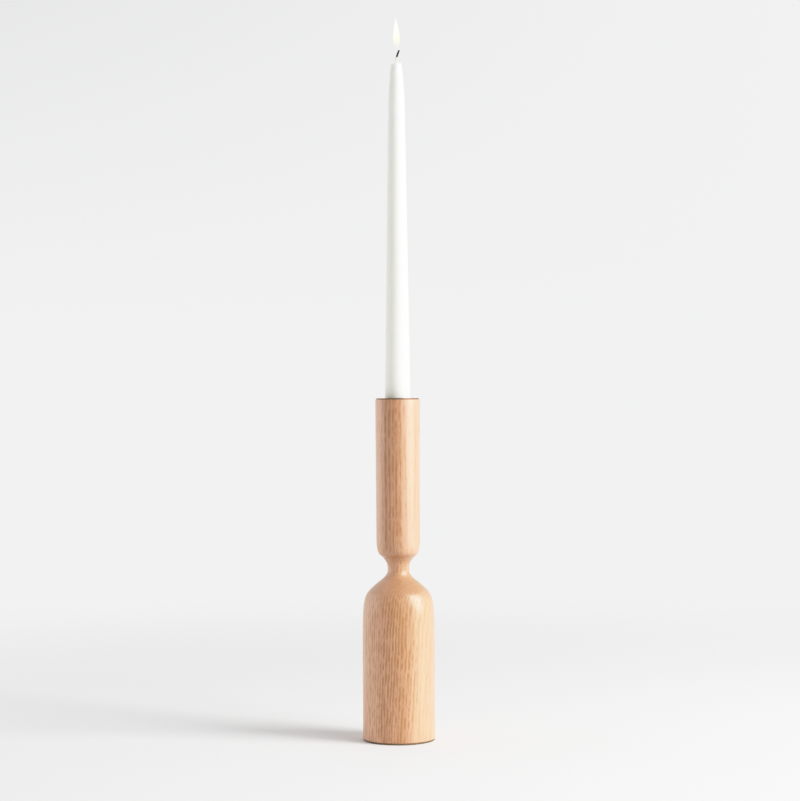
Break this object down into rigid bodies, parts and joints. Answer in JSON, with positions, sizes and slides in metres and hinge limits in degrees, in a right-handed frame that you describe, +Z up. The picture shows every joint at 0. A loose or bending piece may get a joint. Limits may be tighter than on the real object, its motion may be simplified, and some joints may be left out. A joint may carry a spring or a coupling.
{
  "type": "candlestick",
  "caption": "Turned oak candlestick with a pinched neck, a metal taper cup, a weighted base and a lift-out tapered candle.",
  "frame": {"origin": "middle of the base, on the surface that the holder stands on", "axes": "+Z up, along the axis that the wood is turned about and the candle stands on; the wick's tip leans towards +X"},
  "size_m": [0.0616, 0.0616, 0.589],
  "materials": {
    "body_oak": "satin",
    "column_oak": "satin",
    "bronzed_metal": "satin, darkened",
    "zinc_steel": "satin",
    "weight_iron": "matte",
    "pad_felt": "matte felt",
    "candle_wax": "satin wax",
    "wick_cotton": "matte, charred tip"
  },
  "bodies": {
    "stand": {"lower_body": "body_oak", "upper_column": "column_oak", "candle_cup": "bronzed_metal", "tie_rod": "zinc_steel", "hex_nut": "zinc_steel", "spring_washer": "zinc_steel", "flat_washer": "zinc_steel", "base_weight": "weight_iron", "base_pad": "pad_felt"},
    "taper": {"candle": "candle_wax", "wick": "wick_cotton"}
  },
  "joints": [
    {"name": "candle_lift", "type": "slide", "parent": "stand", "child": "taper", "axis": [0, 0, 1], "range_m": [0, 0.07]}
  ]
}
